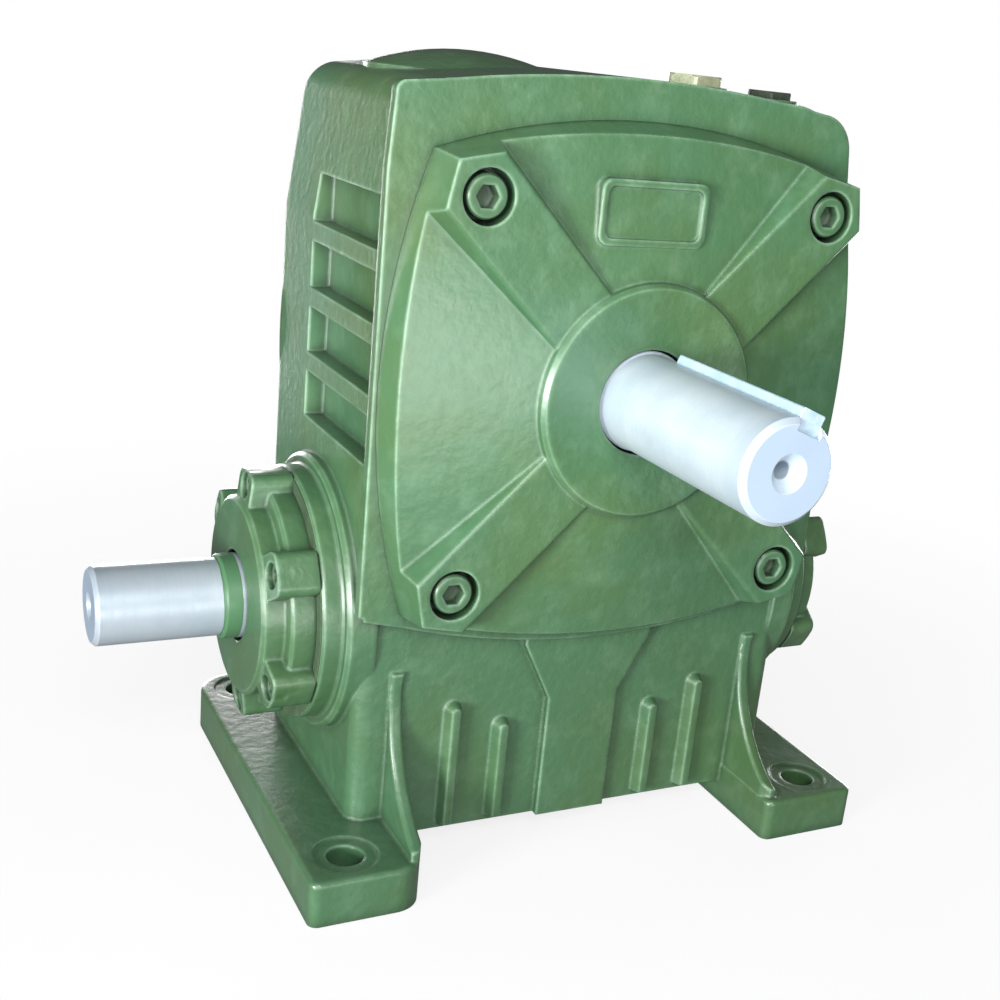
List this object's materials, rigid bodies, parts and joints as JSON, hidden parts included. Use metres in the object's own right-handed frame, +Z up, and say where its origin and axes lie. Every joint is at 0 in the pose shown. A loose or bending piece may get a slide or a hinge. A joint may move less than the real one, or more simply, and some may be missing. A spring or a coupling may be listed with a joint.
{
  "type": "worm gear reducer",
  "caption": "Foot-mounted right-angle worm gearbox: finned cast housing with square bolted covers, keyed output shaft at the front and a plain input shaft low at the side.",
  "frame": {"origin": "centre of the foot bolt pattern, on the mounting plane under the feet", "axes": "+Z up, output shaft points to -Y, input shaft points to -X"},
  "size_m": [0.324, 0.2685, 0.3217],
  "materials": {
    "green_enamel": "green enamel over a rough casting, satin to gloss",
    "painted_screw": "socket screws painted over with the casting",
    "gasket_paper": "dark gasket sheet",
    "seal_rubber": "nitrile rubber",
    "ground_steel": "bright ground steel",
    "key_steel": "bright drawn steel",
    "vent_brass": "pale brass, lightly soiled",
    "dark_plug": "dark painted steel",
    "copper_washer": "soft copper",
    "zinc_frame": "die cast, dull",
    "sight_glass": "clear",
    "wheel_bronze": "machined tin bronze",
    "wheel_iron": "machined grey iron",
    "dark_screw": "black oxide",
    "bearing_steel": "ground and polished",
    "cage_steel": "pressed steel"
  },
  "bodies": {
    "casing": {"housing": "green_enamel", "front_cover": "green_enamel", "rear_cover": "green_enamel", "front_cover_gasket": "gasket_paper", "rear_cover_gasket": "gasket_paper", "front_cover_screws": "painted_screw", "rear_cover_screws": "painted_screw", "input_end_cover": "green_enamel", "blind_end_cover": "green_enamel", "input_end_gasket": "gasket_paper", "blind_end_gasket": "gasket_paper", "input_end_screws": "painted_screw", "blind_end_screws": "painted_screw", "output_oil_seal": "seal_rubber", "input_oil_seal": "seal_rubber", "vent_plug": "vent_brass", "filler_plug": "dark_plug", "drain_plug": "dark_plug", "drain_washer": "copper_washer", "sight_glass_frame": "zinc_frame", "sight_glass_lens": "sight_glass", "sight_glass_gasket": "gasket_paper", "front_bearing_cup": "bearing_steel", "rear_bearing_cup": "bearing_steel", "input_bearing_cup": "bearing_steel", "far_bearing_cup": "bearing_steel"},
    "worm": {"worm_shaft": "ground_steel", "input_bearing_cone": "bearing_steel", "far_bearing_cone": "bearing_steel"},
    "wheel": {"output_shaft": "ground_steel", "output_key": "key_steel", "wheel_key": "key_steel", "wheel_hub": "wheel_iron", "wheel_rim": "wheel_bronze", "rim_screws": "dark_screw", "wheel_spacer": "key_steel", "front_bearing_cone": "bearing_steel", "rear_bearing_cone": "bearing_steel"},
    "front_bearing_roller_set": {"front_bearing_rollers": "bearing_steel", "front_bearing_cage": "cage_steel"},
    "rear_bearing_roller_set": {"rear_bearing_rollers": "bearing_steel", "rear_bearing_cage": "cage_steel"},
    "input_bearing_roller_set": {"input_bearing_rollers": "bearing_steel", "input_bearing_cage": "cage_steel"},
    "far_bearing_roller_set": {"far_bearing_rollers": "bearing_steel", "far_bearing_cage": "cage_steel"}
  },
  "joints": [
    {"name": "wheel_spin", "type": "hinge", "parent": "casing", "child": "wheel", "pos_m": [0, 0, 0.2], "axis": [0, 1, 0], "continuous": true},
    {"name": "worm_spin", "type": "hinge", "parent": "casing", "child": "worm", "pos_m": [0, 0, 0.1], "axis": [1, 0, 0], "continuous": true},
    {"name": "front_bearing_cage_spin", "type": "hinge", "parent": "casing", "child": "front_bearing_roller_set", "pos_m": [0, 0, 0.2], "axis": [0, 1, 0], "continuous": true},
    {"name": "rear_bearing_cage_spin", "type": "hinge", "parent": "casing", "child": "rear_bearing_roller_set", "pos_m": [0, 0, 0.2], "axis": [0, 1, 0], "continuous": true},
    {"name": "input_bearing_cage_spin", "type": "hinge", "parent": "casing", "child": "input_bearing_roller_set", "pos_m": [0, 0, 0.1], "axis": [1, 0, 0], "continuous": true},
    {"name": "far_bearing_cage_spin", "type": "hinge", "parent": "casing", "child": "far_bearing_roller_set", "pos_m": [0, 0, 0.1], "axis": [1, 0, 0], "continuous": true}
  ],
  "couplings": [
    {"joint": "worm_spin", "follows": "wheel_spin", "ratio": 30},
    {"joint": "front_bearing_cage_spin", "follows": "wheel_spin", "ratio": 0.434},
    {"joint": "rear_bearing_cage_spin", "follows": "wheel_spin", "ratio": 0.434},
    {"joint": "input_bearing_cage_spin", "follows": "wheel_spin", "ratio": 13.14},
    {"joint": "far_bearing_cage_spin", "follows": "wheel_spin", "ratio": 13.14}
  ]
}
